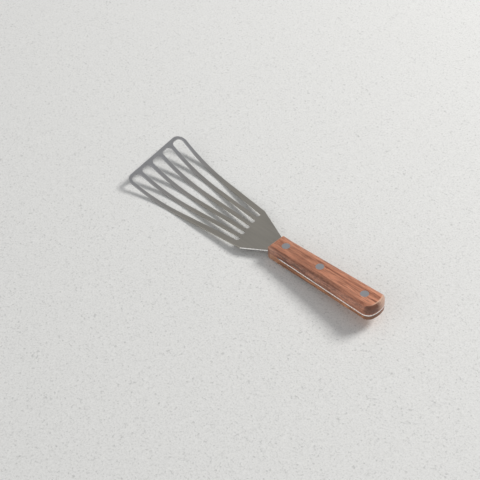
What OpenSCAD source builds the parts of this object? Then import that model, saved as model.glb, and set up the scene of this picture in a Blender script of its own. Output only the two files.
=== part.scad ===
// Slotted fish spatula: one stamped steel sheet that is both blade and full tang,
// two wood scales and three two-piece rivets.
// X runs from the blade's tip to the handle's butt, Z is up and Y is across.
// The part lies as on a table: the belly of the blade and the lower front edge
// of the handle touch z = 0, and the origin is the middle of the box on the table.

/* [Sheet] */
// Thickness of the steel sheet
sheet_t = 1.2; // [0.8:0.1:2]
// Length of the straight stretch in front of the handle
straight_l = 92.2; // [60:0.1:110]
// Radius of the upward bend of the blade
bend_r = 166; // [100:1:300]

/* [Blade outline] */
// Distance from the handle's nose to the middle of the tip edge
blade_reach = 159.3; // [135:0.1:175]
// Angle by which the tip edge leans forward on the far side
tip_skew = 8; // [0:0.1:10]
// Reach of the near corner of the tip across the sheet
tip_near_w = 37.2; // [32:0.1:44]
// Reach of the far corner of the tip across the sheet
tip_far_w = 40; // [32:0.1:44]
// Radius of the near corner of the tip
tip_near_r = 7; // [3:0.1:9]
// Radius of the far corner of the tip
tip_far_r = 8.4; // [3:0.1:9]
// Distance from the nose to the near shoulder
near_shoulder_reach = 21.1; // [15:0.1:26]
// Reach of the near shoulder across the sheet
near_shoulder_w = 23.2; // [18:0.1:26]
// Distance from the nose to the far shoulder
far_shoulder_reach = 37.5; // [26:0.5:40]
// Reach of the far shoulder across the sheet
far_shoulder_w = 25; // [20:0.1:28]
// Radius of both shoulders
shoulder_r = 4; // [1:0.5:8]
// Width of the neck where it enters the handle
neck_w = 18; // [14:0.1:20]

/* [Slots] */
// Number of slots
slot_count = 5; // [3:1:5]
// Width of the near outer strip at the tip
near_rail_w = 2; // [1.5:0.1:5]
// Width of the far outer strip at the tip
far_rail_w = 4; // [1.5:0.1:5]
// Distance behind the nose of the point that the strips radiate from
apex_back = 124.5; // [100:1:130]
// Width of each strip between two slots
strip_w = 3.7; // [2.5:0.1:4.5]
// Width of the rail in front of the middle slot
rail_w = 2.9; // [2:0.1:8]
// Angle of the line through the front ends of the slots
slot_front_skew = 7.8; // [0:0.1:10]
// Distance from the nose to the rear end of the middle slot
slot_rear_reach = 32.9; // [28:0.1:50]
// Angle of the line through the rear ends of the slots
slot_rear_skew = 14.1; // [0:0.1:15]
// Radius of the front corners of a slot
slot_front_r = 4; // [1:0.5:4.5]
// Radius of the rear corners of a slot
slot_rear_r = 1.9; // [0.5:0.1:2]

/* [Handle] */
// Length of the handle
handle_l = 113.5; // [100:0.5:140]
// Width of the handle at its nose
nose_w = 21.2; // [20:0.1:26]
// Width of the handle at its butt
butt_w = 24; // [22:0.1:32]
// Thickness of the lower scale at the nose
lower_nose_t = 6.5; // [4:0.1:9]
// Thickness of the lower scale at the butt
lower_butt_t = 3.9; // [3:0.1:9]
// Thickness of the upper scale at the nose
upper_nose_t = 5.8; // [4:0.1:10]
// Thickness of the upper scale at the butt
upper_butt_t = 8.8; // [6:0.1:14]
// Radius of the long upper edges
upper_edge_r = 6; // [1:0.5:7]
// Radius of the long lower edges
lower_edge_r = 1.5; // [0.5:0.5:3]
// Radius of the front edge on top of the nose
nose_edge_r = 1.2; // [0.5:0.1:3]
// Radius of the butt seen from above
butt_end_r = 23; // [16:1:40]
// Radius of the butt's corners seen from above
butt_corner_r = 8; // [3:0.5:9]
// Length of the closed nose, where wood covers the sheet's edges
cheek_l = 11.5; // [6:0.5:14]
// Gap on each side of the neck inside the closed nose
cheek_gap = 0.1; // [0.05:0.05:0.5]

/* [Rivets] */
// Distance from the nose to the first rivet
rivet_first = 11.4; // [9:0.1:20]
// Distance from the first rivet to the middle one
rivet_gap_front = 38.4; // [25:0.1:45]
// Distance from the middle rivet to the last one
rivet_gap_rear = 47.8; // [30:0.1:50]
// Diameter of a rivet's head
head_d = 7.2; // [6:0.1:9]
// Depth of a head under the wood's surface
head_t = 1.6; // [1:0.1:2.5]
// Outer diameter of the tube half of a rivet
tube_d = 5; // [4:0.1:5.5]
// Diameter of the pin half of a rivet
pin_d = 3.2; // [2:0.1:3.4]
// Room left past the end of a pin or a tube
rivet_end_gap = 0.5; // [0.2:0.1:1]
// Radial gap round each rivet and between its halves
rivet_gap = 0.05; // [0.02:0.01:0.15]

/* [Hidden] */
$fn = 96;

// Facets of the large circles that bend the sheet
bend_facets = 720;
// Largest step in degrees along the rounded corners of an outline
arc_step = 9;

// Extra length that lets a cutter run past the face it cuts
past = 1;
// Length, width and height of cutters that run along the whole handle
cut_l = 2 * handle_l;
cut_w = 2 * butt_w;
cut_h = upper_nose_t + upper_butt_t;
// Width that a cut across the whole sheet covers
sheet_cut_w = 2 * (tip_near_w + tip_far_w);

// Rivet places along the handle
front_rivet_x = rivet_first;
middle_rivet_x = front_rivet_x + rivet_gap_front;
rear_rivet_x = middle_rivet_x + rivet_gap_rear;
rivet_xs = [front_rivet_x, middle_rivet_x, rear_rivet_x];

// Largest share of a slot's end that one rounded corner may take
corner_share = 0.42;

// Angles from the x axis to the outer edges of the fan of strips, and between its slots
fan_reach = apex_back + blade_reach;
near_fan = atan((tip_near_w - near_rail_w + strip_w / 2) / fan_reach);
far_fan = atan((tip_far_w - far_rail_w + strip_w / 2) / fan_reach);
slot_pitch = (near_fan + far_fan) / slot_count;

// Directions along the tip edge and along the lines through the slots' ends
tip_dir = [-sin(tip_skew), cos(tip_skew)];
slot_front_dir = [-sin(slot_front_skew), cos(slot_front_skew)];
slot_rear_dir = [-sin(slot_rear_skew), cos(slot_rear_skew)];

// Rest tilt: a line from the nose's lower edge that touches the belly from below
nose_drop = sheet_t / 2 + lower_nose_t;
belly_rise = bend_r + nose_drop;
rest_tilt = atan2(belly_rise, straight_l)
    - asin((bend_r + sheet_t / 2) / norm([straight_l, belly_rise]));

// Slopes of the handle's top, of its underside and of its sides
top_slope = atan((upper_butt_t - upper_nose_t) / handle_l);
bottom_slope = atan((lower_nose_t - lower_butt_t) / handle_l);
side_slope = atan((butt_w - nose_w) / 2 / butt_corner_mid()[0]);

// Box on the table, from the outermost points of the sheet and of the butt
outline = sheet_points();
tip_x = min([for (p = outline) p[0]]);
near_side = min([for (p = outline) p[1]]);
far_side = max([for (p = outline) p[1]]);
tip_z = bend_r - sqrt(pow(bend_r - sheet_t / 2, 2) - pow(tip_x + straight_l, 2));
tip_end = tip_x * cos(rest_tilt) - tip_z * sin(rest_tilt);
butt_end = handle_l * cos(rest_tilt) - bottom_z(handle_l) * sin(rest_tilt);

// Height of the handle's top over the sheet's middle at x, and of its underside
function top_z(x) = sheet_t / 2 + upper_nose_t + x * tan(top_slope);
function bottom_z(x) = -nose_drop + x * tan(bottom_slope);

// Heights of the two seats for the rivet heads at x
function upper_seat(x) = top_z(x) - head_t;
function lower_seat(x) = bottom_z(x) + head_t;

// Cross product of two plan vectors
function turn(a, b) = a[0] * b[1] - a[1] * b[0];

// Point where the line through p along d meets the line through q along e
function meet(p, d, q, e) = p + d * turn(q - p, e) / turn(d, e);

// Unit vector from a to b
function toward(a, b) = (b - a) / norm(b - a);

// Points of an arc round mid from one angle to another, both ends included
function arc(mid, r, from, to) =
    let (n = max(2, ceil(abs(to - from) / arc_step)))
    [for (k = [0 : n]) mid + r * [cos(from + (to - from) * k / n), sin(from + (to - from) * k / n)]];

// Arc of radius r that rounds corner i of an outline
function fillet_arc(pts, i, r) =
    let (n = len(pts), c = pts[i],
         u = toward(c, pts[(i + n - 1) % n]), v = toward(c, pts[(i + 1) % n]),
         mid = c + (u + v) * r / abs(turn(u, v)),
         start = c + u * (mid - c) * u - mid, end = c + v * (mid - c) * v - mid,
         from = atan2(start[1], start[0]),
         swept = acos(start * end / (r * r)) * sign(turn(start, end)))
    arc(mid, r, from, from + swept);

// Outline whose corners are rounded, each by its own radius
function rounded(pts, radii) =
    [for (i = [0 : len(pts) - 1])
        each radii[i] > 0 ? fillet_arc(pts, i, radii[i]) : [pts[i]]];

// Centre of the circle that rounds the far corner of the butt
function butt_corner_mid() =
    let (y = butt_w / 2 - butt_corner_r)
    [handle_l - butt_end_r + sqrt(pow(butt_end_r - butt_corner_r, 2) - y * y), y];

// Half the handle's width at x
function half_w(x) = nose_w / 2 + x * (butt_w - nose_w) / 2 / butt_corner_mid()[0];

// Outline of the blade in front of the handle, from the near neck to the far one
function blade_points() =
    let (tip = [-blade_reach, 0],
         corners = [[0, -neck_w / 2],
                    [-near_shoulder_reach, -near_shoulder_w],
                    [meet(tip, tip_dir, [0, -tip_near_w], [1, 0])[0], -tip_near_w],
                    [meet(tip, tip_dir, [0, tip_far_w], [1, 0])[0], tip_far_w],
                    [-far_shoulder_reach, far_shoulder_w],
                    [0, neck_w / 2]])
    rounded(corners, [0, shoulder_r, tip_near_r, tip_far_r, shoulder_r, 0]);

// Outline of the tang behind the closed nose, from its far front corner to its near one
function tang_points() =
    let (mid = butt_corner_mid(), end_mid = [handle_l - butt_end_r, 0],
         touch = atan2(mid[1], mid[0] - end_mid[0]),
         butt = arc(end_mid, butt_end_r, touch, -touch))
    concat([[cheek_l, neck_w / 2], [cheek_l, half_w(cheek_l)]],
           arc(mid, butt_corner_r, 90, touch),
           [for (k = [1 : len(butt) - 2]) butt[k]],
           arc([mid[0], -mid[1]], butt_corner_r, -touch, -90),
           [[cheek_l, -half_w(cheek_l)], [cheek_l, -neck_w / 2]]);

// Plan of the whole sheet without its slots and holes
function sheet_points() = concat(blade_points(), tang_points());

// Direction of a ray from the strips' apex toward the tip, and its far-side normal
function ray(a) = [-cos(a), sin(a)];
function ray_normal(a) = [sin(a), cos(a)];

// Corners of slot i, where slot 0 is the nearest one
function slot_points(i) =
    let (apex = [apex_back, 0],
         a_near = i * slot_pitch - near_fan, a_far = a_near + slot_pitch,
         near = apex + ray_normal(a_near) * strip_w / 2,
         far = apex - ray_normal(a_far) * strip_w / 2,
         rear = [-slot_rear_reach, 0],
         front = [rail_w - blade_reach, 0])
    [meet(near, ray(a_near), rear, slot_rear_dir),
     meet(near, ray(a_near), front, slot_front_dir),
     meet(far, ray(a_far), front, slot_front_dir),
     meet(far, ray(a_far), rear, slot_rear_dir)];

module slot_outline(i) {
    pts = slot_points(i);
    rear_r = min(slot_rear_r, corner_share * norm(pts[3] - pts[0]));
    front_r = min(slot_front_r, corner_share * norm(pts[2] - pts[1]));
    polygon(rounded(pts, [rear_r, front_r, front_r, rear_r]));
}

// Plan of one scale, with a true round butt
module handle_outline() {
    mid = butt_corner_mid();
    end_mid = [handle_l - butt_end_r, 0];
    far_touch = end_mid + toward(end_mid, mid) * butt_end_r;
    polygon([[0, -nose_w / 2], [mid[0], -butt_w / 2], [mid[0], butt_w / 2], [0, nose_w / 2]]);
    polygon([[mid[0], -mid[1]], [far_touch[0], -far_touch[1]], far_touch, mid]);
    intersection() {
        translate(end_mid)
            circle(r = butt_end_r);
        translate([mid[0], -far_touch[1]])
            square([handle_l, 2 * far_touch[1]]);
    }
    for (s = [-1, 1]) {
        translate([mid[0], s * mid[1]])
            circle(r = butt_corner_r);
    }
}

// Plan of the whole sheet: blade, neck and tang
module sheet_outline() {
    difference() {
        polygon(outline);
        for (i = [0 : slot_count - 1]) {
            slot_outline(i);
        }
        for (x = rivet_xs) {
            translate([x, 0])
                circle(d = tube_d + 2 * rivet_gap);
        }
    }
}

// Side view of everything over a face that lies drop below the sheet's middle
module over_face(drop) {
    translate([-straight_l, bend_r])
        circle(r = bend_r + drop, $fn = bend_facets);
    translate([-straight_l, -drop])
        square([straight_l + cut_l, 2 * bend_r]);
}

// Side view of the sheet, in x and z
module sheet_profile() {
    reach = past - tip_x;
    intersection() {
        difference() {
            over_face(sheet_t / 2);
            over_face(-sheet_t / 2);
        }
        translate([-reach, -past])
            square([reach + handle_l + past, bend_r]);
    }
}

// From the sheet's own frame, with the nose at its origin, to the table
module on_table() {
    translate([-(tip_end + butt_end) / 2, -(near_side + far_side) / 2, nose_drop * cos(rest_tilt)])
        rotate([0, -rest_tilt, 0])
            children();
}

module blade() {
    color("#6f6c6b")
        on_table()
            intersection() {
                translate([0, 0, -past])
                    linear_extrude(height = bend_r)
                        sheet_outline();
                translate([0, sheet_cut_w / 2, 0])
                    rotate([90, 0, 0])
                        linear_extrude(height = sheet_cut_w)
                            sheet_profile();
            }
}

// Cutter that rounds a straight edge along x whose solid lies at -y and -z
module edge_cutter(r) {
    difference() {
        translate([-handle_l / 2, -r, -r])
            cube([cut_l, r + past, r + past]);
        translate([-handle_l / 2 - past, -r, -r])
            rotate([0, 90, 0])
                cylinder(r = r, h = cut_l + 2 * past);
    }
}

// Cutters along both long edges of a face at height z that slopes by the angle slope
module long_edge_cutters(r, z, slope) {
    for (s = [0, 1]) {
        mirror([0, s, 0])
            translate([0, nose_w / 2, z])
                rotate([0, 0, side_slope])
                    rotate([0, -slope, 0])
                        edge_cutter(r);
    }
}

// Cutter that rounds the nose's upper front edge, which runs along y
module nose_cutter() {
    translate([0, butt_w, top_z(0)])
        rotate([90, 0, 0])
            difference() {
                translate([-past, -nose_edge_r, 0])
                    cube([nose_edge_r + past, nose_edge_r + past, cut_w]);
                translate([nose_edge_r, -nose_edge_r, -past])
                    cylinder(r = nose_edge_r, h = cut_w + 2 * past);
            }
}

// Room over the handle's sloping top
module over_top() {
    translate([0, 0, top_z(0)])
        rotate([0, -top_slope, 0])
            translate([-handle_l / 2, -butt_w, 0])
                cube([cut_l, cut_w, cut_h]);
}

// Room under the handle's sloping underside
module under_bottom() {
    translate([0, 0, -nose_drop])
        rotate([0, -bottom_slope, 0])
            translate([-handle_l / 2, -butt_w, -cut_h])
                cube([cut_l, cut_w, cut_h]);
}

// Room for the barrels of the three rivets
module rivet_holes() {
    for (x = rivet_xs) {
        translate([x, 0, -cut_h])
            cylinder(d = tube_d + 2 * rivet_gap, h = 2 * cut_h);
    }
}

// Room for the sheet: the whole handle behind the closed nose, the neck inside it
module sheet_room() {
    low = -sheet_t / 2 - past;
    translate([cheek_l, -butt_w, low])
        cube([handle_l, cut_w, sheet_t + past]);
    translate([-past, -neck_w / 2 - cheek_gap, low])
        cube([cheek_l + 2 * past, neck_w + 2 * cheek_gap, sheet_t + past]);
}

module upper_scale() {
    color("#9a4a2c")
        on_table()
            difference() {
                translate([0, 0, -sheet_t / 2])
                    linear_extrude(height = sheet_t + cut_h)
                        handle_outline();
                sheet_room();
                over_top();
                long_edge_cutters(upper_edge_r, top_z(0), top_slope);
                nose_cutter();
                rivet_holes();
                for (x = rivet_xs) {
                    translate([x, 0, upper_seat(x)])
                        cylinder(d = head_d + 2 * rivet_gap, h = cut_h);
                }
            }
}

module lower_scale() {
    color("#8a4026")
        on_table()
            difference() {
                translate([0, 0, -nose_drop])
                    linear_extrude(height = lower_nose_t)
                        handle_outline();
                under_bottom();
                mirror([0, 0, 1])
                    long_edge_cutters(lower_edge_r, nose_drop, -bottom_slope);
                rivet_holes();
                for (x = rivet_xs) {
                    translate([x, 0, lower_seat(x) - cut_h])
                        cylinder(d = head_d + 2 * rivet_gap, h = cut_h);
                }
            }
}

// Tube half: a head ground flush with the underside, and a barrel with a bore
module rivet_tube(x) {
    color("#8b8f96")
        on_table()
            difference() {
                translate([x, 0, 0])
                    union() {
                        translate([0, 0, lower_seat(x) - 2 * head_t])
                            cylinder(d = head_d, h = 2 * head_t);
                        translate([0, 0, bottom_z(x)])
                            cylinder(d = tube_d, h = upper_seat(x) - bottom_z(x) - rivet_end_gap);
                    }
                translate([x, 0, lower_seat(x)])
                    cylinder(d = pin_d + 2 * rivet_gap, h = cut_h);
                under_bottom();
            }
}

// Pin half: a head ground flush with the handle's top, and a solid pin
module rivet_pin(x) {
    color("#9a9ea6")
        on_table()
            difference() {
                translate([x, 0, 0])
                    union() {
                        translate([0, 0, upper_seat(x)])
                            cylinder(d = head_d, h = 2 * head_t);
                        translate([0, 0, lower_seat(x) + rivet_end_gap])
                            cylinder(d = pin_d, h = upper_seat(x) - lower_seat(x));
                    }
                over_top();
            }
}

module front_rivet_tube() { rivet_tube(front_rivet_x); }
module middle_rivet_tube() { rivet_tube(middle_rivet_x); }
module rear_rivet_tube() { rivet_tube(rear_rivet_x); }
module front_rivet_pin() { rivet_pin(front_rivet_x); }
module middle_rivet_pin() { rivet_pin(middle_rivet_x); }
module rear_rivet_pin() { rivet_pin(rear_rivet_x); }

blade();
upper_scale();
lower_scale();
front_rivet_tube();
middle_rivet_tube();
rear_rivet_tube();
front_rivet_pin();
middle_rivet_pin();
rear_rivet_pin();
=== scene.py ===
import math

import bmesh
import bpy
from mathutils import Matrix, Vector


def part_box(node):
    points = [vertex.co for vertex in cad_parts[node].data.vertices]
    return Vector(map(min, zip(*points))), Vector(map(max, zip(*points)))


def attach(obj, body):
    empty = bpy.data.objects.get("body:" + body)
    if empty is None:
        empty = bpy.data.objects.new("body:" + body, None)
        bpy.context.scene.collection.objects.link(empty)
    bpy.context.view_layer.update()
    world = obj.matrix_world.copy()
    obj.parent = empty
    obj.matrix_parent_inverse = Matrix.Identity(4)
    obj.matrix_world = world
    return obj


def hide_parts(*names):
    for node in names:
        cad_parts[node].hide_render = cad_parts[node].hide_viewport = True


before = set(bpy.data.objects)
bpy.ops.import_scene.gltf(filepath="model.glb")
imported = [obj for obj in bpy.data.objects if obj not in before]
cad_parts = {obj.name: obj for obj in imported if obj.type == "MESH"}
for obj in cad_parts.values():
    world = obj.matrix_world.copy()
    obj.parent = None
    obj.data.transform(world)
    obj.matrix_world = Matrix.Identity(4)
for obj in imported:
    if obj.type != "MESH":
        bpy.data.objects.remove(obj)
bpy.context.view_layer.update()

# All sizes are in millimetres unless their comment says otherwise, and angles in degrees
MM = 0.001

# Sheet: thickness, the straight stretch in front of the handle, and the bend
SHEET_T = 1.2
STRAIGHT_L = 92.2
BEND_R = 166
# Rounding of the stamped edges, and of the edges ground round the tang and the neck
STAMPED_EDGE_R = 0.16
GROUND_EDGE_R = 0.2
# How far inside the neck's outline its ground edges reach
GROUND_EDGE_W = 1
# Length of a facet along the bend and along the rest of the blade
BEND_STEP = 2.5
STRAIGHT_STEP = 8

# Outline of the blade, measured from the handle's nose toward the tip
BLADE_REACH = 159.3
TIP_SKEW = 8
TIP_NEAR_W = 37.2
TIP_FAR_W = 40
TIP_NEAR_R = 7
TIP_FAR_R = 8.4
NEAR_SHOULDER = (21.1, 23.2)
FAR_SHOULDER = (37.5, 25)
SHOULDER_R = 4
NECK_W = 18

# Slots: the strips between them radiate from a point APEX_BACK behind the nose, and the
# rails are the sheet's outer strips
SLOT_COUNT = 5
NEAR_RAIL_W = 2
FAR_RAIL_W = 4
APEX_BACK = 124.5
STRIP_W = 3.7
RAIL_W = 2.9
SLOT_FRONT_SKEW = 7.8
SLOT_REAR_REACH = 32.9
SLOT_REAR_SKEW = 14.1
SLOT_FRONT_R = 4
SLOT_REAR_R = 1.9
# Largest share of a slot's end that one rounded corner may take
CORNER_SHARE = 0.42

# Handle: outline, thickness of the scales, and the closed nose round the neck
HANDLE_L = 113.5
NOSE_W = 21.2
BUTT_W = 24
LOWER_NOSE_T = 6.5
LOWER_BUTT_T = 3.9
UPPER_NOSE_T = 5.8
UPPER_BUTT_T = 8.8
BUTT_END_R = 23
BUTT_CORNER_R = 8
CHEEK_L = 11.5
CHEEK_GAP = 0.1
NOSE_CORNER_R = 0.5

# Long upper edges of the wood: radius along the grip, and on the near (-1) and far (1) side
# at the nose and at the butt, with the length over which it changes
LONG_EDGE_R = 6
NOSE_SIDE_R = {-1: 2, 1: 5}
NOSE_BLEND_L = 12
BUTT_SIDE_R = {-1: 2.4, 1: 6}
BUTT_BLEND_L = 22
# Other edges of the wood, and those of both scales along the tang
NOSE_EDGE_R = 1.2
BUTT_EDGE_R = 0.45
LOWER_EDGE_R = 1.5
LOWER_NOSE_EDGE_R = 0.5
LOWER_BUTT_EDGE_R = 0.3
INNER_EDGE_R = 0.2
# How far the butt's upper edge is set back, over which height, and the curve between
BUTT_LEAN = 2.1
BUTT_LEAN_H = 3.6
BUTT_LEAN_CURVE = 1.6
# Faces across half the nose and along a side, heights of the rings of points up a wall as
# shares of it, and distances of those on the outer face from the outline
NOSE_STEPS = 12
SIDE_STEPS = 44
WALL_SHARES = (0, 0.3, 0.55, 0.72, 0.84, 0.92, 0.97)
FACE_INSETS = (0, 0.015, 0.06, 0.14, 0.25, 0.4, 0.6, 0.85, 1.15, 1.6, 2.2, 3, 4, 5, 6)
# How soon a round end's own edge takes over from the side's, by its outward direction
END_TURN = 1.6
# Band of the outer face, from the outline, where the butt's edge is worn and has a painted
# highlight, and the inset up to which its end grain, with painted light and shade, shows
WORN_AND_LIT_FROM = 0.05
WORN_AND_LIT_TO = 0.7
END_GRAIN_AND_LIGHT_TO = 0.2

# Rivets: places along the handle, heads, tubes, the gaps round them and past their ends, and
# the broken edges; then the holes that they need
RIVET_XS = (11.4, 49.8, 97.6)
HEAD_D = 7.2
HEAD_T = 1.6
TUBE_D = 5
RIVET_GAP = 0.05
RIVET_END_GAP = 0.5
RIVET_EDGE_W = 0.12
SEAT_D = HEAD_D + 2 * RIVET_GAP
BORE_D = TUBE_D + 2 * RIVET_GAP

# Camera, fitted to the photograph; its aim lies on the table, to the image's right of the
# origin and away from the camera
CAM_AZIMUTH = 45.18
CAM_ELEVATION = 45.35
CAM_DISTANCE = 880
CAM_FOCAL_PX = 1010.6
CAM_AIM_RIGHT = -14.07
CAM_AIM_AWAY = -5.01
CAM_SENSOR_W = 36
CAM_CLIP = 10
IMAGE_PX = 480
CAM_RIGHT = Vector((math.cos(math.radians(CAM_AZIMUTH)), math.sin(math.radians(CAM_AZIMUTH)), 0))
CAM_AWAY = Vector((-CAM_RIGHT.y, CAM_RIGHT.x, 0))

# Key light, a round softbox: how far a shadow moves to the image's left and toward the camera
# per height, the angle that the softbox fills seen from the spatula, its distance in metres
# and its power in watts
SHADOW_LEFT = 1.05
SHADOW_NEAR = 0.57
KEY_ANGLE = 22
KEY_DISTANCE = 3.2
KEY_POWER = 91
KEY_COLOR = (1, 0.985, 0.96)
# Fill light: its direction toward the camera and up, per step to the image's left
FILL_NEAR = 0.75
FILL_UP = 0.28
FILL_STRENGTH = 1.3
FILL_ANGLE = 70
SKY_COLOR = (0.97, 0.985, 1, 1)
SKY_STRENGTH = 0.355

# Floor: width in metres, and how far it lies under the part
FLOOR_W = 6
FLOOR_DROP = 0.02

# Largest step of an arc, the gap under which two points are joined, and how far a cutter
# runs past what it cuts
ARC_STEP = 6
WELD_GAP = 0.001
PAST = 1

# The rest pose: the belly of the blade and the nose's lower edge on the table
NOSE_DROP = SHEET_T / 2 + LOWER_NOSE_T
REST_TILT = math.atan2(BEND_R + NOSE_DROP, STRAIGHT_L) - math.asin(
    (BEND_R + SHEET_T / 2) / math.hypot(STRAIGHT_L, BEND_R + NOSE_DROP))
BOTTOM_SLOPE = (LOWER_NOSE_T - LOWER_BUTT_T) / HANDLE_L
TOP_SLOPE = (UPPER_BUTT_T - UPPER_NOSE_T) / HANDLE_L


def top_z(x):
    """Height of the handle's top face over the sheet's middle."""
    return SHEET_T / 2 + UPPER_NOSE_T + x * TOP_SLOPE


def bottom_z(x):
    """Height of the handle's underside, below the sheet's middle."""
    return -NOSE_DROP + x * BOTTOM_SLOPE


def sheet_matrix():
    """From millimetres in the sheet's own frame, nose at the origin, to the frame's metres."""
    low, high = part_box("lower_scale")
    butt = HANDLE_L * math.cos(REST_TILT) - bottom_z(HANDLE_L) * math.sin(REST_TILT)
    nose = Vector((high.x - butt * MM, (low.y + high.y) / 2, NOSE_DROP * math.cos(REST_TILT) * MM))
    return Matrix.Translation(nose) @ Matrix.Rotation(-REST_TILT, 4, "Y") @ Matrix.Scale(MM, 4)


TO_TABLE = sheet_matrix()


# Plan geometry

def turn(a, b):
    """Cross product of two plan vectors."""
    return a[0] * b[1] - a[1] * b[0]


def meet(p, d, q, e):
    """Point where the line through p along d meets the line through q along e."""
    return p + d * (turn(q - p, e) / turn(d, e))


def arc(mid, r, start, end, step=ARC_STEP):
    """Points of an arc between two angles in degrees, both ends included."""
    n = max(2, math.ceil(abs(end - start) / step))
    angles = [math.radians(start + (end - start) * k / n) for k in range(n + 1)]
    return [mid + Vector((r * math.cos(a), r * math.sin(a))) for a in angles]


def fillet_arc(pts, i, r):
    """Arc of radius r that rounds corner i of an outline."""
    c = pts[i]
    u = (pts[i - 1] - c).normalized()
    v = (pts[(i + 1) % len(pts)] - c).normalized()
    mid = c + (u + v) * (r / abs(turn(u, v)))
    start = c + u * (mid - c).dot(u) - mid
    end = c + v * (mid - c).dot(v) - mid
    first = math.degrees(math.atan2(start.y, start.x))
    swept = math.degrees(math.acos(max(-1, min(1, start.dot(end) / (r * r)))))
    return arc(mid, r, first, first + math.copysign(swept, turn(start, end)))


def rounded(pts, radii):
    """Outline with each corner rounded by its own radius, or kept sharp where that is 0."""
    out = []
    for i, r in enumerate(radii):
        out += fillet_arc(pts, i, r) if r else [pts[i]]
    return out


def skewed(angle):
    """Direction across the blade that leans forward on the far side by an angle."""
    a = math.radians(angle)
    return Vector((-math.sin(a), math.cos(a)))


def butt_corner_mid():
    """Centre of the butt's far rounded corner."""
    y = BUTT_W / 2 - BUTT_CORNER_R
    return Vector((HANDLE_L - BUTT_END_R + math.sqrt((BUTT_END_R - BUTT_CORNER_R) ** 2 - y * y), y))


SIDE_TAPER = (BUTT_W - NOSE_W) / 2 / butt_corner_mid().x


def half_w(x):
    """Half the handle's width at a distance from its nose."""
    return NOSE_W / 2 + x * SIDE_TAPER


def butt_half(inset):
    """Far half of the butt's round end, from its side to the middle, with outward directions."""
    mid = butt_corner_mid()
    end_mid = Vector((HANDLE_L - BUTT_END_R, 0))
    touch = math.degrees(math.atan2(mid.y, mid.x - end_mid.x))
    corner = [(p, (p - mid).normalized()) for p in arc(mid, BUTT_CORNER_R - inset, 90, touch, 4)]
    end = [(p, (p - end_mid).normalized()) for p in arc(end_mid, BUTT_END_R - inset, touch, 0, 3)]
    return corner + end[1:]


def blade_points():
    """Outline of blade and neck, from the nose's near side round the tip to its far side."""
    tip, along = Vector((-BLADE_REACH, 0)), skewed(TIP_SKEW)
    straight = Vector((1, 0))
    corners = [Vector((0, -NECK_W / 2)), Vector((-NEAR_SHOULDER[0], -NEAR_SHOULDER[1])),
               meet(tip, along, Vector((0, -TIP_NEAR_W)), straight),
               meet(tip, along, Vector((0, TIP_FAR_W)), straight),
               Vector((-FAR_SHOULDER[0], FAR_SHOULDER[1])), Vector((0, NECK_W / 2))]
    return rounded(corners, [0, SHOULDER_R, TIP_NEAR_R, TIP_FAR_R, SHOULDER_R, 0])


def tang_points():
    """Outline of the tang, from the far cheek round the butt to the near cheek."""
    far = [Vector((CHEEK_L, NECK_W / 2)), Vector((CHEEK_L, half_w(CHEEK_L)))]
    far += [p for p, outward in butt_half(0)]
    return far + [Vector((p.x, -p.y)) for p in reversed(far[:-1])]


def slot_points(i):
    """Outline of slot i; slot 0 is the nearest one."""
    near_fan = math.atan((TIP_NEAR_W - NEAR_RAIL_W + STRIP_W / 2) / (APEX_BACK + BLADE_REACH))
    far_fan = math.atan((TIP_FAR_W - FAR_RAIL_W + STRIP_W / 2) / (APEX_BACK + BLADE_REACH))
    pitch = (near_fan + far_fan) / SLOT_COUNT
    near_a = i * pitch - near_fan
    far_a = near_a + pitch
    apex = Vector((APEX_BACK, 0))
    near_ray = Vector((-math.cos(near_a), math.sin(near_a)))
    far_ray = Vector((-math.cos(far_a), math.sin(far_a)))
    near = apex + Vector((math.sin(near_a), math.cos(near_a))) * STRIP_W / 2
    far = apex - Vector((math.sin(far_a), math.cos(far_a))) * STRIP_W / 2
    rear, front = Vector((-SLOT_REAR_REACH, 0)), Vector((RAIL_W - BLADE_REACH, 0))
    pts = [meet(near, near_ray, rear, skewed(SLOT_REAR_SKEW)),
           meet(near, near_ray, front, skewed(SLOT_FRONT_SKEW)),
           meet(far, far_ray, front, skewed(SLOT_FRONT_SKEW)),
           meet(far, far_ray, rear, skewed(SLOT_REAR_SKEW))]
    rear_r = min(SLOT_REAR_R, CORNER_SHARE * (pts[3] - pts[0]).length)
    front_r = min(SLOT_FRONT_R, CORNER_SHARE * (pts[2] - pts[1]).length)
    return rounded(pts, [rear_r, front_r, front_r, rear_r])


# Mesh helpers

def new_object(name, mesh):
    piece = bpy.data.objects.new(name, mesh)
    bpy.context.scene.collection.objects.link(piece)
    return piece


def mesh_of(bm, name):
    """Mesh of a finished bmesh, with its normals outward."""
    bmesh.ops.recalc_face_normals(bm, faces=bm.faces)
    mesh = bpy.data.meshes.new(name)
    bm.to_mesh(mesh)
    bm.free()
    return mesh


def smooth(piece):
    """Shades all of the piece's faces smoothly."""
    for face in piece.data.polygons:
        face.use_smooth = True


def applied(piece):
    """Bakes the piece's modifiers into its mesh."""
    bpy.context.view_layer.update()
    depsgraph = bpy.context.evaluated_depsgraph_get()
    baked = bpy.data.meshes.new_from_object(piece.evaluated_get(depsgraph))
    piece.modifiers.clear()
    piece.data = baked
    return piece


def weld(piece):
    """Joins points less than WELD_GAP apart, so that no sliver faces are left."""
    join = piece.modifiers.new("weld", "WELD")
    join.merge_threshold = WELD_GAP * MM


def keep_flats(piece):
    """Lets the large faces set the shading, so that flats look flat beside rounded edges."""
    piece.modifiers.new("flats", "WEIGHTED_NORMAL")


def soft_edges(piece, width, angle=40):
    """Breaks edges that are sharper than an angle, and keeps the flats flat."""
    bevel = piece.modifiers.new("edges", "BEVEL")
    bevel.width = width * MM
    bevel.segments = 2
    bevel.limit_method = "ANGLE"
    bevel.angle_limit = math.radians(angle)
    weld(piece)
    keep_flats(piece)


# The sheet: blade, neck and tang

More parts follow.
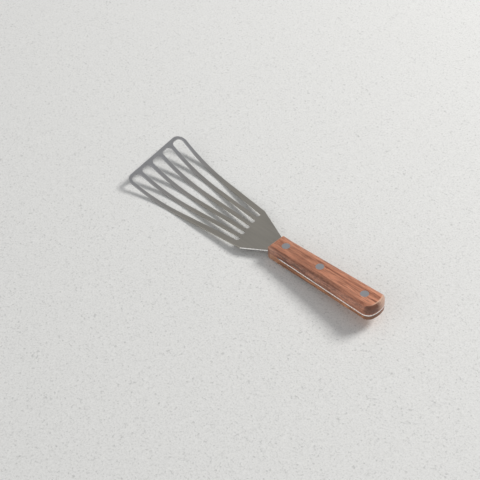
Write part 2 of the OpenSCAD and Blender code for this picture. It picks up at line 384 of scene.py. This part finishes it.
def bent(v):
    """Moves a point of the flat sheet onto the upward bend, keeping its place in plan."""
    past = -v.x - STRAIGHT_L
    if past <= 0:
        return v
    return Vector((v.x, v.y, BEND_R - math.sqrt((BEND_R - v.z) ** 2 - past * past)))


def on_ground_rim(p):
    """Whether the edge here is ground, as round the tang and from neck to shoulders, where it gets
    the painted highlight.
    """
    reach, wide = FAR_SHOULDER if p.y > 0 else NEAR_SHOULDER
    taper = NECK_W / 2 - p.x * (wide - NECK_W / 2) / reach
    return p.x > 0 or p.x > -reach and abs(p.y) > taper - GROUND_EDGE_W


def fill_sheet(bm):
    """Top face of the flat sheet, with its slots and the bores of its rivets."""
    loops = [blade_points() + tang_points()] + [slot_points(i) for i in range(SLOT_COUNT)]
    loops += [arc(Vector((x, 0)), BORE_D / 2, 0, 360 - ARC_STEP) for x in RIVET_XS]
    for loop in loops:
        ring = [bm.verts.new((p.x, p.y, SHEET_T / 2)) for p in loop]
        for a, b in zip(ring, ring[1:] + ring[:1]):
            bm.edges.new((a, b))
    bmesh.ops.triangle_fill(bm, edges=bm.edges[:], use_beauty=True, use_dissolve=False)
    bmesh.ops.dissolve_limit(bm, angle_limit=0.001, verts=bm.verts[:], edges=bm.edges[:])


def slice_blade(bm):
    """Cuts the blade's face across in steps, short ones where it will be bent."""
    x = -BLADE_REACH - TIP_FAR_W * math.tan(math.radians(TIP_SKEW))
    while x < 0:
        geom = bm.verts[:] + bm.edges[:] + bm.faces[:]
        bmesh.ops.bisect_plane(bm, geom=geom, dist=1e-5, plane_co=(x, 0, 0), plane_no=(1, 0, 0))
        x += BEND_STEP if x < -STRAIGHT_L - BEND_STEP else STRAIGHT_STEP


def thicken_sheet(bm):
    """Turns the top face into a sheet of the full thickness."""
    grown = bmesh.ops.extrude_face_region(bm, geom=bm.faces[:])
    moved = [g for g in grown["geom"] if isinstance(g, bmesh.types.BMVert)]
    bmesh.ops.translate(bm, verts=moved, vec=(0, 0, -SHEET_T))
    bmesh.ops.recalc_face_normals(bm, faces=bm.faces)


def round_rims(bm):
    """Rounds the sheet's edges and gives the ground ones the piece's second material, a painted
    highlight.
    """
    rims = [e for e in bm.edges if len(e.link_faces) == 2
            and abs(e.link_faces[0].normal.z - e.link_faces[1].normal.z) > 0.5]
    ground = [e for e in rims if all(on_ground_rim(v.co) for v in e.verts)]
    stamped = [e for e in rims if e not in set(ground)]
    for edges, r, segments in ((stamped, STAMPED_EDGE_R, 2), (ground, GROUND_EDGE_R, 4)):
        edges = [e for e in edges if e.is_valid]
        bmesh.ops.bevel(bm, geom=edges, offset=r, segments=segments, affect="EDGES", profile=0.5)
    for face in bm.faces:
        edge = abs(face.normal.z) < 0.95 and on_ground_rim(face.calc_center_median())
        face.material_index = 1 if edge else 0


def make_sheet():
    """Blade, neck and tang in one piece, drawn flat and then bent."""
    bm = bmesh.new()
    fill_sheet(bm)
    slice_blade(bm)
    thicken_sheet(bm)
    round_rims(bm)
    for v in bm.verts:
        v.co = bent(v.co)
    bmesh.ops.transform(bm, matrix=TO_TABLE, verts=bm.verts)
    piece = new_object("spatula_blade", mesh_of(bm, "spatula_blade"))
    smooth(piece)
    weld(piece)
    keep_flats(piece)
    return applied(piece)


# The scales

def handle_ring(inset):
    """Handle outline moved inward by inset, always with the same number of points.

    Each point comes with its outward direction.
    """
    corner = max(NOSE_CORNER_R - inset, 0.02)
    start = inset + corner
    side = half_w(start) - start
    end_x = butt_corner_mid().x
    across, along = Vector((0, 1)), Vector((-1, 0))
    half = []
    for k in range(NOSE_STEPS):
        half.append((Vector((inset, side * k / NOSE_STEPS)), along))
    for p in arc(Vector((start, side)), corner, 180, 90, 18):
        half.append((p, along))
    for k in range(1, SIDE_STEPS):
        x = start + (end_x - start) * k / SIDE_STEPS
        half.append((Vector((x, half_w(x) - inset)), across))
    for p, outward in butt_half(inset):
        half.append((p, outward))
    mirrored = [(Vector((p.x, -p.y)), Vector((n.x, -n.y))) for p, n in reversed(half[1:-1])]
    return half + mirrored


def round_drop(distance, r):
    """How far a rounded edge of radius r lies under its flat, at a distance from its side."""
    if distance >= r:
        return 0
    return r - math.sqrt(max(r * r - (r - distance) ** 2, 0))


def ease(t):
    """0 below 0, 1 above 1, with a smooth change between them."""
    t = min(max(t, 0), 1)
    return t * t * (3 - 2 * t)


def upper_side_r(p):
    """Radius of the upper long edges: full along the grip, less at the nose and at the butt."""
    side = -1 if p.y < 0 else 1
    r = NOSE_SIDE_R[side] + (LONG_EDGE_R - NOSE_SIDE_R[side]) * ease(p.x / NOSE_BLEND_L)
    return r + (BUTT_SIDE_R[side] - LONG_EDGE_R) * ease(1 - (HANDLE_L - p.x) / BUTT_BLEND_L)


def butt_lean(depth):
    """How far the upper edge of the round end is set back, at a depth under the top."""
    return BUTT_LEAN * max(1 - depth / BUTT_LEAN_H, 0) ** BUTT_LEAN_CURVE


def make_block(name, face_z, inner_z, side_r, nose_r, butt_r, lean, sign):
    """Solid between the flat at inner_z and the sloping outer face, whose edges are rounded.

    The round end is set back by lean(depth) near the outer face, which lies above the flat
    where sign is 1 and under it where sign is -1. Two measures are kept for the wood: a worn
    band with a painted highlight along the round end's edge, and end grain with painted light
    and shade on its wall.
    """

    def placed(p, outward, inset, share):
        """Point at an inset from the outline, and at a share of the wall's height."""
        end = ease(outward.x * END_TURN)
        spot = p
        for _ in range(3):
            side = max(half_w(spot.x) - abs(spot.y), 0)
            drop = max(round_drop(side, side_r(spot)), round_drop(spot.x, nose_r),
                       round_drop(inset, butt_r * end))
            z = inner_z + (face_z(spot.x) - sign * drop - inner_z) * share
            spot = p - outward * (lean(abs(face_z(spot.x) - z)) * end)
        return spot.x, spot.y, z

    bm = bmesh.new()
    wear_and_highlight = bm.verts.layers.float.new("wear_and_highlight")
    end_grain_and_light = bm.verts.layers.float.new("end_grain_and_light")
    rings = []
    for inset, share in [(0, k) for k in WALL_SHARES] + [(k, 1) for k in FACE_INSETS]:
        ring = handle_ring(inset)
        rings.append([bm.verts.new(placed(p, outward, inset, share)) for p, outward in ring])
        # The first measure marks the band along the ends' edges, worn and given a painted
        # highlight; the second marks the end wall, where end grain gets painted light and shade.
        for vert, (p, outward) in zip(rings[-1], ring):
            vert[wear_and_highlight] = abs(outward.x) * (WORN_AND_LIT_FROM < inset < WORN_AND_LIT_TO)
            vert[end_grain_and_light] = ease(abs(outward.x) * 2) * (inset < END_GRAIN_AND_LIGHT_TO)
    for low, high in zip(rings, rings[1:]):
        for a, b, c, d in zip(low, low[1:] + low[:1], high[1:] + high[:1], high):
            bm.faces.new((a, b, c, d))
    bm.faces.new(rings[-1])
    bm.faces.new(list(reversed(rings[0])))
    return new_object(name, mesh_of(bm, name))


def add_cylinder(bm, x, d, low, high):
    """Upright cylinder on the handle's middle line."""
    at = Matrix.Translation((x, 0, (low + high) / 2))
    bmesh.ops.create_cone(bm, cap_ends=True, segments=64, radius1=d / 2, radius2=d / 2,
                          depth=high - low, matrix=at)


def add_box(bm, low, high):
    """Box between two opposite corners."""
    mid = [(a + b) / 2 for a, b in zip(low, high)]
    size = [b - a for a, b in zip(low, high)]
    at = Matrix.Translation(mid) @ Matrix.Diagonal((*size, 1))
    bmesh.ops.create_cube(bm, size=1, matrix=at)


def cut(piece, fill):
    """Takes the solids that fill(bm) draws out of the piece."""
    bm = bmesh.new()
    fill(bm)
    tool = new_object("cutter", mesh_of(bm, "cutter"))
    boolean = piece.modifiers.new("cut", "BOOLEAN")
    boolean.object = tool
    boolean.operation = "DIFFERENCE"
    boolean.solver = "EXACT"
    applied(piece)
    bpy.data.objects.remove(tool)


def finish_scale(piece):
    """Lays the scale on the table and breaks its inner edges."""
    piece.data.transform(TO_TABLE)
    smooth(piece)
    soft_edges(piece, INNER_EDGE_R, angle=50)
    return applied(piece)


def make_upper_scale():
    """Upper scale, with room for the tang and, inside its closed nose, for the neck."""
    piece = make_block("spatula_upper_scale", top_z, -SHEET_T / 2,
                       upper_side_r, NOSE_EDGE_R, BUTT_EDGE_R, butt_lean, 1)
    low = -SHEET_T

    def tang_room(bm):
        add_box(bm, (CHEEK_L, -BUTT_W, low), (2 * HANDLE_L, BUTT_W, SHEET_T / 2))

    def neck_room(bm):
        y = NECK_W / 2 + CHEEK_GAP
        add_box(bm, (-PAST, -y, low), (CHEEK_L + PAST, y, SHEET_T / 2))

    cut(piece, tang_room)
    cut(piece, neck_room)
    for x in RIVET_XS:
        seat = top_z(x) - HEAD_T
        cut(piece, lambda bm: add_cylinder(bm, x, SEAT_D, seat, 2 * seat))
        cut(piece, lambda bm: add_cylinder(bm, x, BORE_D, -PAST, seat + RIVET_END_GAP))
    return finish_scale(piece)


def make_lower_scale():
    """Lower scale, whose long edges have one radius all along."""
    piece = make_block("spatula_lower_scale", bottom_z, -SHEET_T / 2,
                       lambda spot: LOWER_EDGE_R, LOWER_NOSE_EDGE_R, LOWER_BUTT_EDGE_R,
                       lambda depth: 0, -1)
    for x in RIVET_XS:
        seat = bottom_z(x) + HEAD_T
        cut(piece, lambda bm: add_cylinder(bm, x, SEAT_D, 3 * seat, seat))
        cut(piece, lambda bm: add_cylinder(bm, x, BORE_D, seat - RIVET_END_GAP, 0))
    return finish_scale(piece)


# Materials

class Graph:
    """A material's node tree, with short calls for the nodes used here."""

    def __init__(self, name):
        self.material = bpy.data.materials.new(name)
        self.material.use_nodes = True
        self.nodes = self.material.node_tree.nodes
        self.links = self.material.node_tree.links
        self.shader = self.nodes["Principled BSDF"]

    def node(self, kind, **inputs):
        """New node with its inputs set or linked; a space in an input's name is written _."""
        made = self.nodes.new(kind)
        for key, value in inputs.items():
            self.put(made.inputs[key.replace("_", " ")], value)
        return made

    def put(self, socket, value):
        if isinstance(value, bpy.types.NodeSocket):
            self.links.new(value, socket)
        else:
            socket.default_value = value

    def place(self, scale, offset=(0, 0, 0)):
        """Coordinates along the sheet's own axes in metres, scaled along each axis."""
        spot = self.node("ShaderNodeTexCoord").outputs["Object"]
        mapping = self.node("ShaderNodeMapping", Vector=spot)
        mapping.vector_type = "TEXTURE"
        mapping.inputs["Rotation"].default_value = (0, -REST_TILT, 0)
        mapping.inputs["Scale"].default_value = [1 / k for k in scale]
        mapping.inputs["Location"].default_value = TO_TABLE.translation - Vector(offset)
        return mapping.outputs["Vector"]

    def axes(self, *scale):
        """Places along, across and over the sheet in metres, each times its scale."""
        return self.node("ShaderNodeSeparateXYZ", Vector=self.place(scale)).outputs

    def measure(self, name):
        """A measure that the mesh carries on its points."""
        made = self.node("ShaderNodeAttribute")
        made.attribute_name = name
        return made.outputs["Fac"]

    def noise(self, scale, detail=3, roughness=0.5, distortion=0, offset=(0, 0, 0)):
        made = self.node("ShaderNodeTexNoise", Vector=self.place(scale, offset), Scale=1.0,
                         Detail=detail, Roughness=roughness, Distortion=distortion)
        return made.outputs["Fac"]

    def ramp(self, value, *stops):
        """Colours or greys at places from 0 to 1, blended between them."""
        made = self.node("ShaderNodeValToRGB", Fac=value)
        ends = made.color_ramp.elements
        while len(ends) < len(stops):
            ends.new(0.5)
        for end, (at, color) in zip(ends, stops):
            end.position = at
            end.color = (*color, 1) if isinstance(color, tuple) else (color, color, color, 1)
        return made.outputs["Color"]

    def mix(self, share, a, b, blend="MIX"):
        """Colour a with a share of colour b mixed into it."""
        made = self.node("ShaderNodeMix")
        made.data_type = "RGBA"
        made.blend_type = blend
        sockets = [s for s in made.inputs if s.type == "RGBA"]
        self.put(made.inputs[0], share)
        self.put(sockets[0], (*a, 1) if isinstance(a, tuple) else a)
        self.put(sockets[1], (*b, 1) if isinstance(b, tuple) else b)
        return [s for s in made.outputs if s.type == "RGBA"][0]

    def shade(self, share, color, value, *stops):
        """A share of the colour times a ramp of the value."""
        return self.mix(share, color, self.ramp(value, *stops), "MULTIPLY")

    def math(self, operation, a, b=0.0):
        made = self.nodes.new("ShaderNodeMath")
        made.operation = operation
        self.put(made.inputs[0], a)
        self.put(made.inputs[1], b)
        return made.outputs[0]

    def plus(self, a, b):
        return self.math("ADD", a, b)

    def times(self, a, b):
        return self.math("MULTIPLY", a, b)

    def bump(self, height, strength, distance, below=None):
        made = self.node("ShaderNodeBump", Height=height, Strength=strength, Distance=distance)
        if below is not None:
            self.put(made.inputs["Normal"], below)
        return made.outputs["Normal"]

    def set(self, **inputs):
        for key, value in inputs.items():
            self.put(self.shader.inputs[key.replace("_", " ")], value)
        return self.material


def steel(name, light, dark, roughness, tip_painted_reflection=(1, 1, 1)):
    """Satin steel with a fine lengthwise grain, faint rubbed patches, and a painted reflection that
    makes the tip cooler and lighter.
    """
    g = Graph(name)
    grain = g.noise((30, 900, 900), detail=4, roughness=0.65)
    fine = g.noise((160, 9000, 9000), detail=2)
    patches = g.noise((24, 40, 40), detail=3, distortion=0.4)
    tone = g.ramp(patches, (0.3, dark), (0.7, light))
    lined = g.mix(0.45, tone, g.ramp(grain, (0.32, dark), (0.68, light)))
    # Painted reflection: along the blade the colour turns cooler and lighter toward the tip
    reach = g.axes(-10, 10, 10)["X"]
    color = g.shade(1.0, lined, g.plus(reach, -0.7), (0.1, (1, 1, 1)), (0.8, tip_painted_reflection))
    uneven = g.plus(g.times(grain, 0.12), g.times(patches, 0.1))
    normal = g.bump(fine, 0.08, 0.01 * MM, g.bump(grain, 0.1, 0.03 * MM))
    return g.set(Base_Color=color, Metallic=0.85, Normal=normal,
                 Roughness=g.plus(uneven, roughness - 0.11))


def painted_glint_edge():
    """The sheet's ground edge, with faint grinding marks across it, painted near white as a
    painted highlight of its reflection, brighter than its faces.

    A painted shade darkens it toward the end of the closed nose, and it is bright again 16 mm
    along the handle.
    """
    g = Graph("painted_glint_edge")
    marks = g.noise((900, 900, 60), detail=3)
    # Near-white base colour: a painted highlight for the ground edge's reflection
    color = g.ramp(marks, (0.3, (0.93, 0.91, 0.89)), (0.7, (0.98, 0.965, 0.95)))
    # Painted shade: darker toward the end of the closed nose
    color = g.shade(1.0, color, g.axes(50, 50, 50)["X"],
                    (0.0, 1.0), (0.55, 0.2), (0.62, 0.25), (0.82, 1.0))
    return g.set(Base_Color=color, Metallic=0.3, Normal=g.bump(marks, 0.04, 0.02 * MM),
                 Roughness=g.plus(g.times(marks, 0.15), 0.2))


def wood_noises(g, offset):
    """The noises that the wood's layers share, all of them stretched along the handle."""
    return {
        "drift": g.noise((18, 50, 50), detail=2, offset=offset),
        "streaks": g.noise((14, 420, 420), detail=5, roughness=0.65, distortion=0.2,
                           offset=offset),
        "fibres": g.noise((70, 800, 800), detail=3, roughness=0.6, distortion=0.3,
                          offset=offset),
        "broad": g.noise((16, 130, 130), detail=3, distortion=0.6, offset=offset),
        "figure": g.noise((230, 420, 640), detail=4, roughness=0.65, distortion=1.4,
                          offset=offset),
        "flecks": g.noise((55, 300, 300), detail=3, distortion=0.8, offset=offset),
        "pores": g.noise((240, 2400, 2400), detail=2, offset=offset),
    }


def wood_grain(g, mm, noise, tone):
    """Red-brown streaks, fibres, dark flecks and rings; the wood is lighter toward the butt."""
    color = g.ramp(noise["streaks"], (0.28, tone(0.27, 0.098, 0.056)),
                   (0.46, tone(0.44, 0.185, 0.112)), (0.7, tone(0.62, 0.29, 0.182)))
    color = g.shade(0.6, color, noise["broad"], (0.36, 0.58), (0.52, 1.0))
    color = g.shade(0.8, color, noise["fibres"], (0.34, 0.5), (0.5, 1.0), (0.66, 1.2))
    color = g.shade(0.8, color, noise["flecks"], (0.3, (0.5, 0.4, 0.36)), (0.42, 1.0))
    color = g.shade(1.0, color, g.times(mm["X"], 0.01), (0.3, 0.98), (1.0, 1.16))
    layer = g.plus(g.times(mm["Y"], 0.75), g.times(mm["Z"], 1.1))
    ring = g.math("SINE", g.plus(layer, g.times(noise["drift"], 26)))
    return g.shade(0.3, color, g.plus(g.times(ring, 0.5), 0.5), (0.0, 0.6), (0.35, 1.0))


def wood_vein(g, mm, noise, color):
    """A darker vein that wanders along the middle of the front half."""
    wander = g.plus(mm["Y"], g.times(noise["drift"], 18))
    dark = g.shade(1.0, color, g.times(g.plus(wander, 2.5), 0.1),
                   (0.15, 1.0), (0.42, 0.8), (0.52, 0.8), (0.8, 1.0))
    front = g.ramp(g.times(mm["X"], 0.01), (0.4, 1.0), (0.65, 0.25))
    ragged = g.ramp(noise["figure"], (0.35, 1.0), (0.65, 0.5))
    return g.mix(g.times(front, ragged), color, dark)


def wood_near_side_painted_shading(g, mm, noise, color):
    """Mottled figure on the near side, behind a ragged line, that also darkens that side as painted
    shade, and painted light that makes the nose lighter there.
    """
    edge = g.plus(mm["Y"], g.plus(g.times(noise["broad"], 14), g.times(mm["X"], 0.02)))
    side = g.ramp(g.times(g.plus(edge, 4), 0.2), (0.1, 1.0), (1.0, 0.0))
    # Figure that also darkens the near side on the whole: painted shade as well as figure
    mottled_shade = g.shade(1.0, color, noise["figure"], (0.36, 0.48), (0.6, 1.05))
    color = g.mix(side, color, mottled_shade)
    # Painted light: the near side turns lighter toward the nose
    nose = g.times(side, g.ramp(g.times(mm["X"], 0.05), (0.1, 0.6), (0.6, 0.0)))
    return g.mix(nose, color, (0.46, 0.27, 0.20))


def wood_end(g, mm, noise, across, color, dark, pale_and_lit):
    """End grain at the butt, darkened on the near side as painted shade and lightened on the far
    one as painted light.
    """
    uneven = g.plus(across, g.times(noise["figure"], 6))
    # Painted shade on the end wall's near part and painted light on its far part, over end grain
    end = g.ramp(g.times(g.plus(uneven, -3), 0.13), (0.1, dark), (0.9, pale_and_lit))
    end = g.shade(0.5, end, noise["figure"], (0.35, 0.55), (0.6, 1.1))
    behind = g.ramp(mm["X"], (0.5, 0.0), (1.0, 0.85))
    return g.mix(g.times(g.measure("end_grain_and_light"), behind), color, end)


def wood_wear_and_highlight(g, noise, across, color, pale_and_lit):
    """Lighter worn edges with a painted highlight, more of it toward the far side."""
    rubbed = g.times(g.measure("wear_and_highlight"), g.plus(noise["streaks"], 0.1))
    # Painted highlight: stronger toward the far side, which faces the key light
    far = g.ramp(g.times(g.plus(across, 6), 0.1), (0.1, 0.15), (0.7, 1.0))
    return g.mix(g.times(rubbed, far), color, pale_and_lit)


def wood(name, tint, end_painted_light, offset):
    """Oiled hardwood of a tint, with its own painted-light colour for the far side of its end grain
    and its own stretch of grain.
    """
    g = Graph(name)

    def tone(*color):
        return tuple(a * b for a, b in zip(color, tint))

    mm = g.axes(1000, 1000, 1000)
    noise = wood_noises(g, offset)
    color = wood_grain(g, mm, noise, tone)
    color = wood_vein(g, mm, noise, color)
    color = wood_near_side_painted_shading(g, mm, noise, color)
    color = g.shade(0.6, color, noise["pores"], (0.3, 0.5), (0.4, 1.0))
    across = g.plus(mm["Y"], g.times(noise["drift"], 7))
    color = wood_end(g, mm, noise, across, color, tone(0.13, 0.052, 0.032), end_painted_light)
    color = wood_wear_and_highlight(g, noise, across, color, tone(0.72, 0.46, 0.33))
    normal = g.bump(noise["streaks"], 0.25, 0.2 * MM, g.bump(noise["pores"], 0.25, 0.1 * MM))
    return g.set(Base_Color=color, Roughness=g.plus(g.times(noise["figure"], 0.2), 0.4),
                 Normal=normal, Coat_Weight=0.08, Coat_Roughness=0.35)


def floor_material():
    """Pale matt stone with fine grit and sparse darker specks."""
    g = Graph("floor")
    grit = g.noise((720, 720, 720), detail=3, roughness=0.75)
    specks = g.noise((430, 430, 430), detail=1)
    color = g.ramp(grit, (0.3, (0.56, 0.56, 0.55)), (0.42, (0.7, 0.7, 0.69)),
                   (0.7, (0.8, 0.8, 0.79)))
    color = g.shade(1.0, color, specks, (0.24, 0.78), (0.38, 1.0))
    return g.set(Base_Color=color, Roughness=0.75)


def paint(piece, *materials):
    """Fills the piece's material slots in order; clearing them would reset its faces' slots."""
    slots = piece.data.materials
    for i, material in enumerate(materials):
        if i < len(slots):
            slots[i] = material
        else:
            slots.append(material)


# Stage: floor, light and camera

def make_floor():
    bpy.ops.mesh.primitive_plane_add(size=FLOOR_W, location=(0, 0, -FLOOR_DROP * MM))
    floor = bpy.context.object
    floor.name = "floor"
    paint(floor, floor_material())


def add_lamp(light, to_light, distance=0):
    """Shines a light at the spatula from the given direction, with the lamp that far away."""
    lamp = bpy.data.objects.new(light.name, light)
    lamp.location = to_light.normalized() * distance
    lamp.rotation_mode = "QUATERNION"
    lamp.rotation_quaternion = (-to_light).to_track_quat("-Z", "Y")
    bpy.context.scene.collection.objects.link(lamp)
    return lamp


def make_light():
    """A softbox at the far right as the key, a weak fill from the near left and a plain sky."""
    up = Vector((0, 0, 1))
    softbox = bpy.data.lights.new("key", "AREA")
    softbox.shape = "DISK"
    softbox.size = 2 * KEY_DISTANCE * math.tan(math.radians(KEY_ANGLE / 2))
    softbox.energy = KEY_POWER
    softbox.color = KEY_COLOR
    key = add_lamp(softbox, CAM_RIGHT * SHADOW_LEFT + CAM_AWAY * SHADOW_NEAR + up, KEY_DISTANCE)
    key.visible_glossy = False
    key.visible_camera = False
    fill = bpy.data.lights.new("fill", "SUN")
    fill.energy = FILL_STRENGTH
    fill.angle = math.radians(FILL_ANGLE)
    add_lamp(fill, -CAM_RIGHT - CAM_AWAY * FILL_NEAR + up * FILL_UP)
    world = bpy.data.worlds.new("world")
    world.use_nodes = True
    sky = world.node_tree.nodes["Background"]
    sky.inputs["Color"].default_value = SKY_COLOR
    sky.inputs["Strength"].default_value = SKY_STRENGTH
    bpy.context.scene.world = world


def make_camera():
    """Camera at the photograph's place, which looks at its aim on the table."""
    data = bpy.data.cameras.new("camera")
    data.sensor_width = CAM_SENSOR_W
    data.lens = CAM_FOCAL_PX / IMAGE_PX * CAM_SENSOR_W
    data.clip_start = CAM_CLIP * MM
    camera = bpy.data.objects.new("camera", data)
    tilt = math.radians(CAM_ELEVATION)
    aim = (CAM_RIGHT * CAM_AIM_RIGHT + CAM_AWAY * CAM_AIM_AWAY) * MM
    back = -CAM_AWAY * math.cos(tilt) + Vector((0, 0, math.sin(tilt)))
    camera.location = aim + back * CAM_DISTANCE * MM
    camera.rotation_mode = "QUATERNION"
    camera.rotation_quaternion = (-back).to_track_quat("-Z", "Y")
    bpy.context.scene.collection.objects.link(camera)
    bpy.context.scene.camera = camera


# Assembly

blade_steel = steel("blade_steel", light=(0.53, 0.495, 0.44), dark=(0.415, 0.39, 0.345),
                    roughness=0.42, tip_painted_reflection=(1.07, 1.14, 1.32))
rivet_steel = steel("rivet_steel", light=(0.63, 0.62, 0.64), dark=(0.52, 0.51, 0.53),
                    roughness=0.45)
upper_wood = wood("upper_wood", tint=(1, 1, 1), end_painted_light=(0.58, 0.40, 0.31),
                  offset=(0.3, 0, 0))
lower_wood = wood("lower_wood", tint=(1.2, 1.25, 1), end_painted_light=(0.22, 0.10, 0.07),
                  offset=(1.7, 0.4, 0))

blade = make_sheet()
upper_scale = make_upper_scale()
lower_scale = make_lower_scale()
for piece, node, materials, slot in (
        (blade, "blade", (blade_steel, painted_glint_edge()), "blade_steel"),
        (upper_scale, "upper_scale", (upper_wood,), "handle_wood"),
        (lower_scale, "lower_scale", (lower_wood,), "handle_wood")):
    paint(piece, *materials)
    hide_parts(node)
    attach(piece, "root")

for name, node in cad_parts.items():
    if "rivet" in name:
        paint(node, rivet_steel)
        weld(node)
        soft_edges(node, RIVET_EDGE_W)

make_floor()
make_light()
make_camera()
bpy.context.scene.view_settings.view_transform = "Standard"
